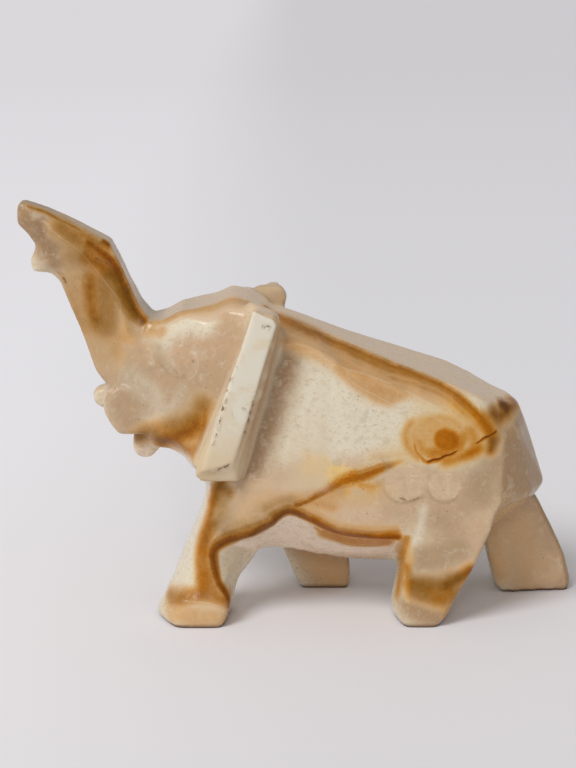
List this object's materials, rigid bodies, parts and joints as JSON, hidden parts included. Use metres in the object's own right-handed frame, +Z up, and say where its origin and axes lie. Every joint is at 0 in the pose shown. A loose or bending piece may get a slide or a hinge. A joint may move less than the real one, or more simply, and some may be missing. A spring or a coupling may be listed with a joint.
{
  "type": "elephant carving",
  "caption": "Walking elephant carved from one slab of banded stone, with its trunk raised, flat slab ears with sawn edges, a broken tusk and broad bevelled legs.",
  "frame": {"origin": "on the surface that the soles stand on, under the middle of the carving's box", "axes": "+Z up, the head looks along -X, the left flank faces -Y and the right flank +Y"},
  "size_m": [0.1376, 0.046, 0.1008],
  "materials": {
    "alabaster": "polished"
  },
  "bodies": {
    "root": {"elephant": "alabaster"}
  },
  "joints": []
}
